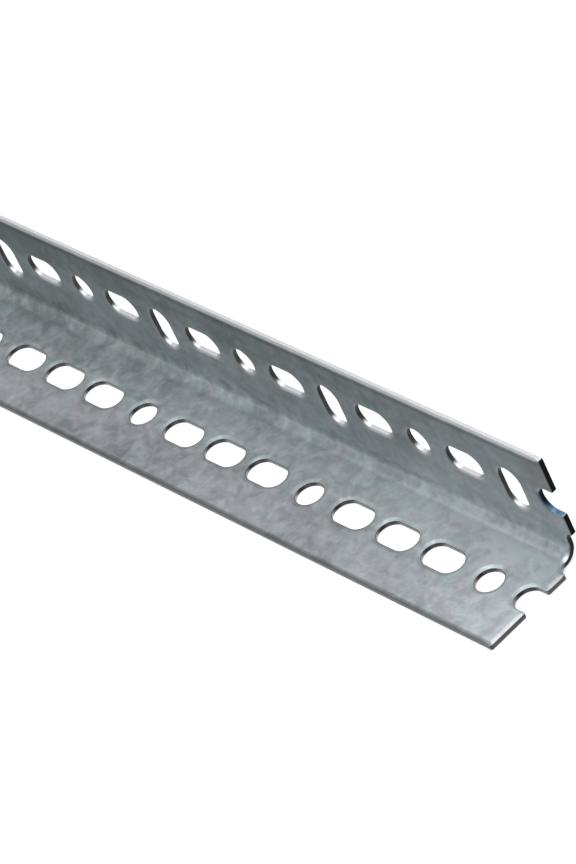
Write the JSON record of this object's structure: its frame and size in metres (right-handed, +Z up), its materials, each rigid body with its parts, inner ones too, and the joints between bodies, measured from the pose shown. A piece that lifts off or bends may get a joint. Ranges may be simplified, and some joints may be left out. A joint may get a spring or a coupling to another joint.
{
  "type": "slotted angle",
  "caption": "Right-angle length of galvanised steel strip with round and slotted bolt holes along both legs, for bolting up frames, shelving and brackets.",
  "frame": {"origin": "middle of the length and of the base leg's width, on the underside of the base leg", "axes": "+X along the stock towards the cut end that starts the hole pattern, +Y towards the upright leg's back face, +Z up"},
  "size_m": [0.6096, 0.0382, 0.0381],
  "materials": {
    "galvanised_steel": "satin"
  },
  "bodies": {
    "root": {"slotted_angle": "galvanised_steel"}
  },
  "joints": []
}
